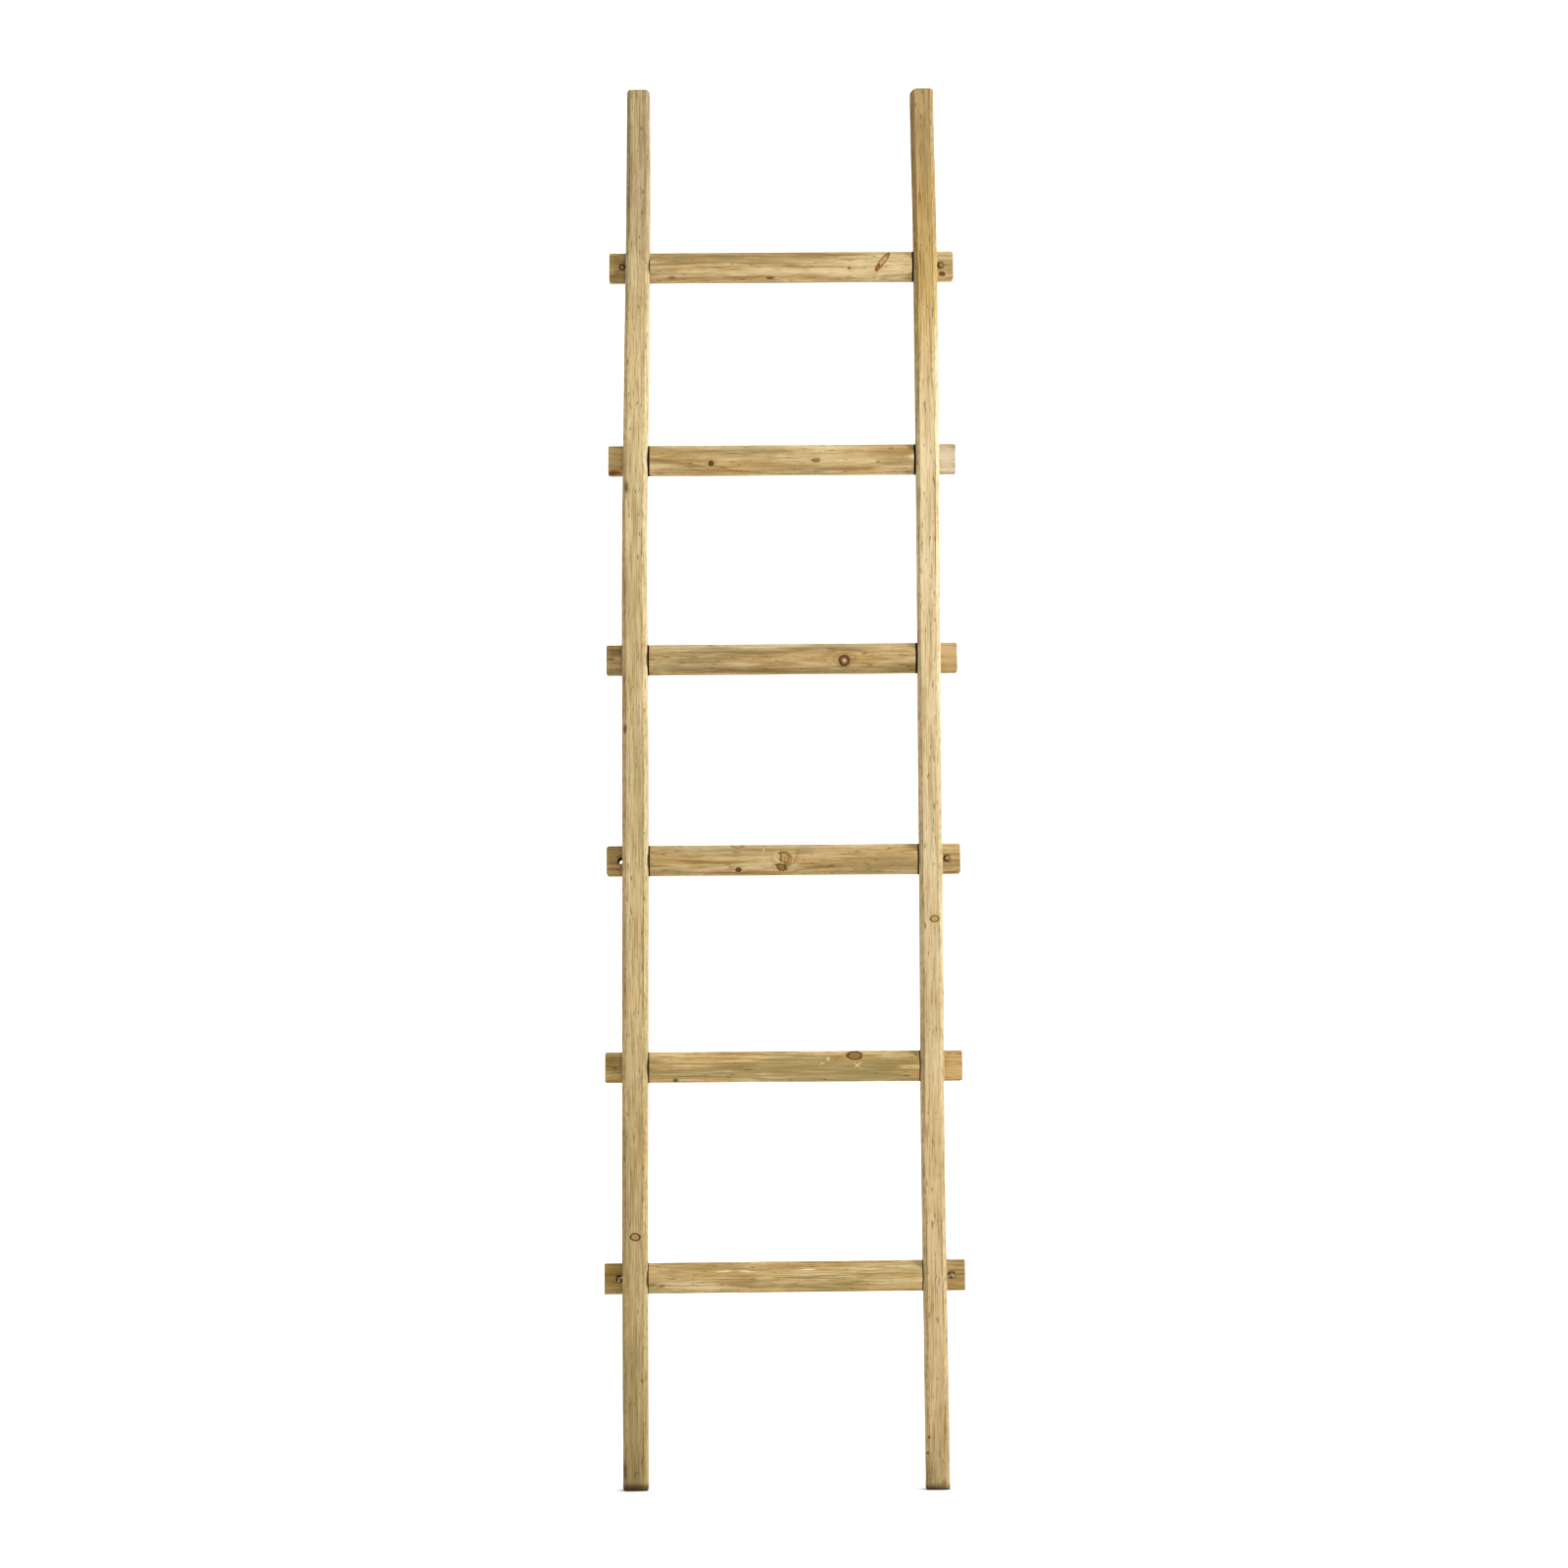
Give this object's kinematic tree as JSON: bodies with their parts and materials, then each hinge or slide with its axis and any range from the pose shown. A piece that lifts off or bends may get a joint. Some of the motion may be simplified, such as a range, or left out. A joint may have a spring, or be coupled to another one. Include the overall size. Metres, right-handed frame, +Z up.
{
  "type": "ladder shelf",
  "caption": "Slender wooden leaning ladder with straight stiles and pegged through-tenon rungs, used as an open rack to hang textiles on.",
  "frame": {"origin": "on the floor midway between the two feet, at mid depth of the stiles, with the ladder standing upright", "axes": "+Z up along the stiles, +X along the rungs, -Y is the front and +Y the side that leans on a wall"},
  "size_m": [0.451, 0.028, 1.8],
  "materials": {
    "stile_pine": "planed and oiled pine with rounded corners, satin",
    "rung_pine": "planed knotty pine with a greyish-olive tint, satin",
    "peg_hardwood": "cut end grain of a thin dowel, matt"
  },
  "bodies": {
    "root": {"left_stile": "stile_pine", "right_stile": "stile_pine", "rung_1": "rung_pine", "rung_2": "rung_pine", "rung_3": "rung_pine", "rung_4": "rung_pine", "rung_5": "rung_pine", "rung_6": "rung_pine", "peg_1_left": "peg_hardwood", "peg_1_right": "peg_hardwood", "peg_4_right": "peg_hardwood", "peg_6_left": "peg_hardwood", "peg_6_right": "peg_hardwood"}
  },
  "joints": []
}
